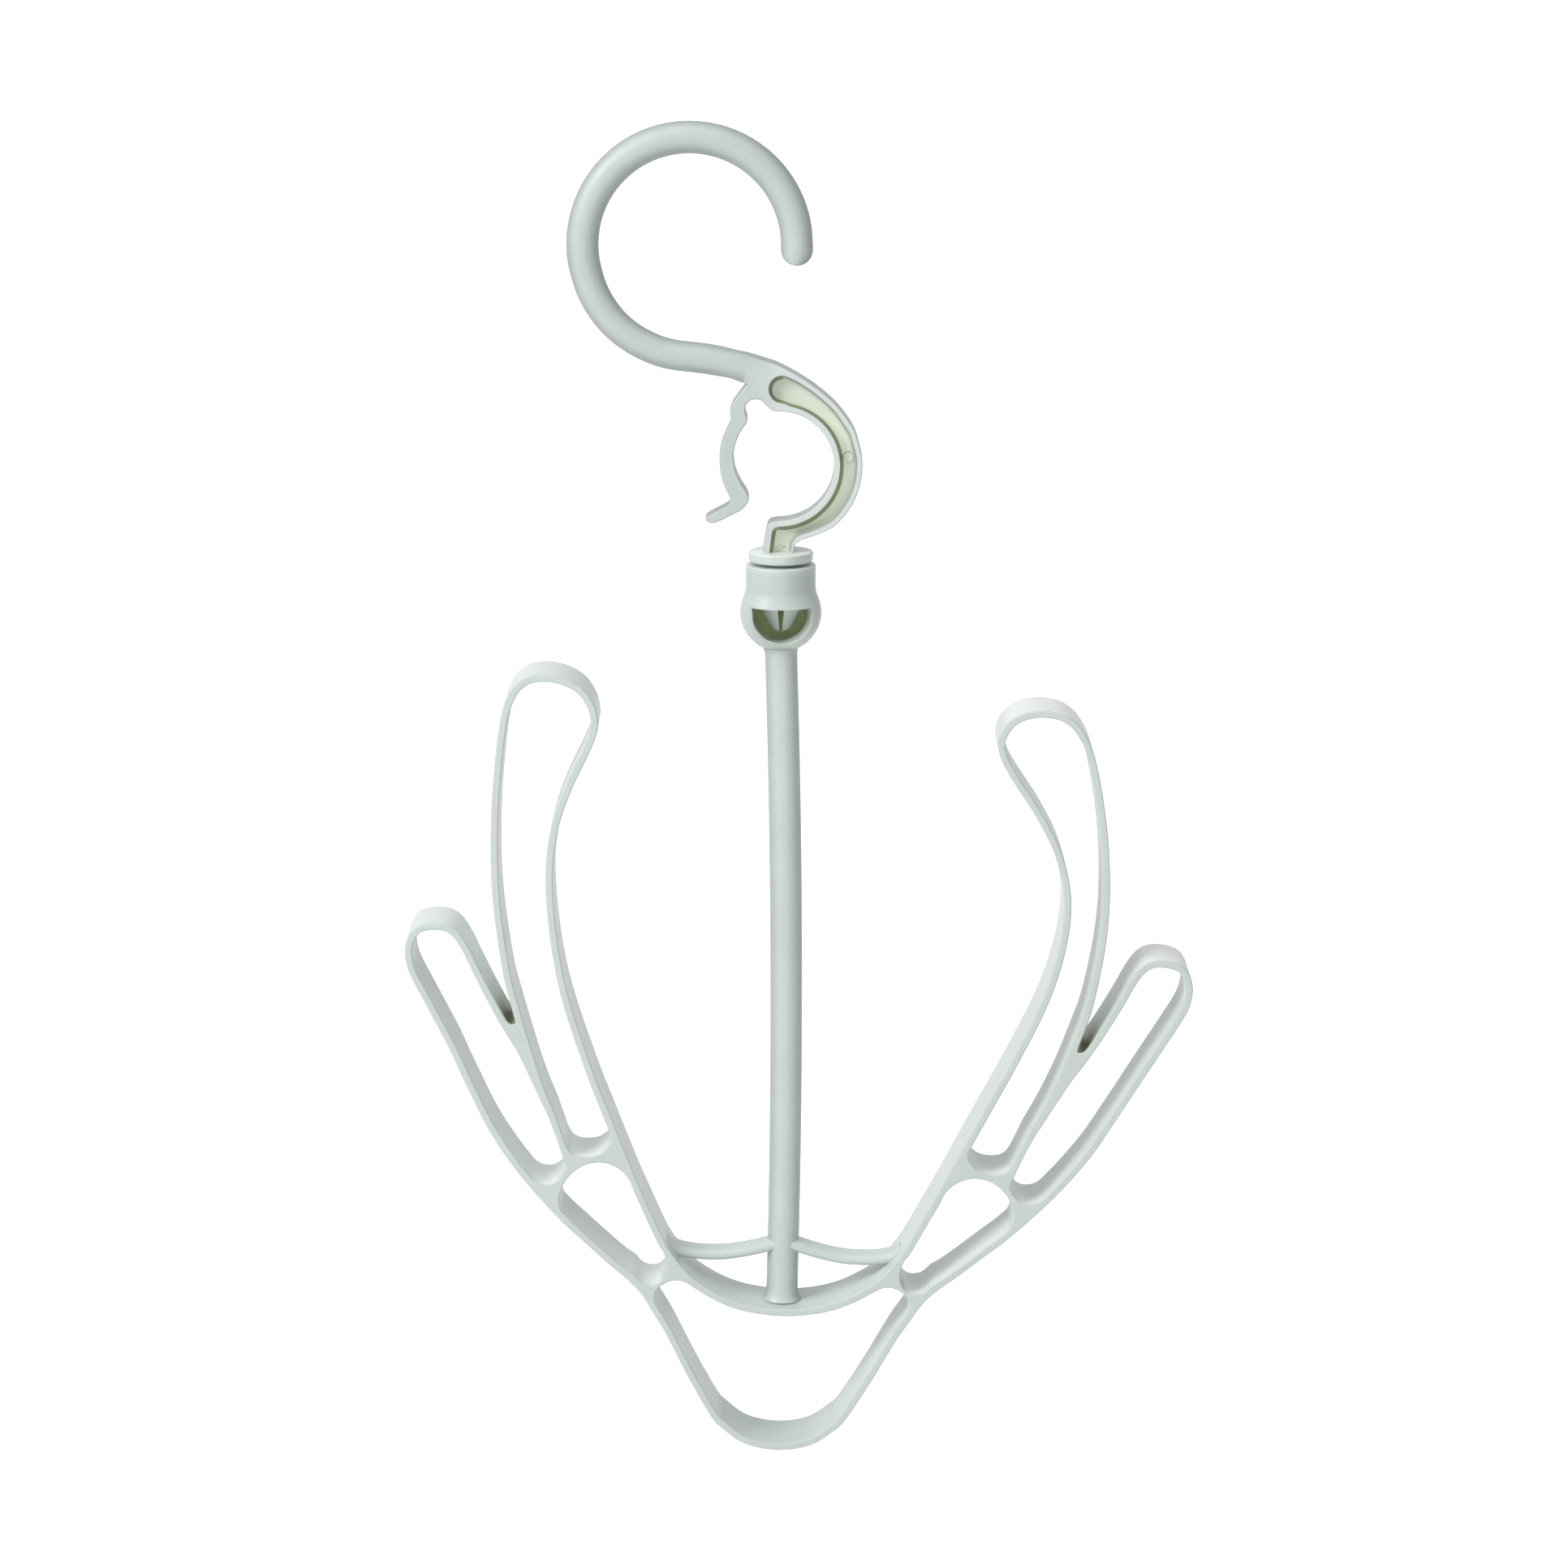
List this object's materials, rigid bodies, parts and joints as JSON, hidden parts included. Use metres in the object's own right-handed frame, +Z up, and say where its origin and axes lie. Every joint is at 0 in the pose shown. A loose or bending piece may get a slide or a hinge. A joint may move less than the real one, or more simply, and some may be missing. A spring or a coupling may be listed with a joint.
{
  "type": "shoe drying hanger",
  "caption": "Hanger for drying shoes: a pole hook with a sprung clip, a free swivel, a round stem and a lattice frame whose looped fingers hold the shoes open.",
  "frame": {"origin": "top of the clip's round bore on the swivel axis, halfway through the clip's depth: where a pole carries the hanger", "axes": "+Z up along the swivel axis, +X to the right of someone facing the hanger, +Y away from them, through the depth of the frame"},
  "size_m": [0.1869, 0.0189, 0.32],
  "materials": {
    "hanging_hook": "satin moulded plastic, pale sage grey",
    "clip_spring_arm": "satin moulded plastic, pale sage grey",
    "swivel_stem": "satin moulded plastic, pale sage grey",
    "lower_frame": "satin moulded plastic, pale sage grey",
    "left_shoe_arm": "satin moulded plastic, pale sage grey",
    "right_shoe_arm": "satin moulded plastic, pale sage grey"
  },
  "bodies": {
    "hook": {"hanging_hook": "hanging_hook"},
    "clip_arm": {"clip_spring_arm": "clip_spring_arm"},
    "hanger": {"swivel_stem": "swivel_stem", "lower_frame": "lower_frame", "left_shoe_arm": "left_shoe_arm", "right_shoe_arm": "right_shoe_arm"}
  },
  "joints": [
    {"name": "swivel", "type": "hinge", "parent": "hook", "child": "hanger", "pos_m": [0, 0, -0.04], "axis": [0, 0, 1], "continuous": true},
    {"name": "clip_flex", "type": "hinge", "parent": "hook", "child": "clip_arm", "pos_m": [-0.0071, 0, 0.0039], "axis": [0, 1, 0], "range_deg": [0, 40], "stiffness_Nm_per_rad": 0.35}
  ]
}
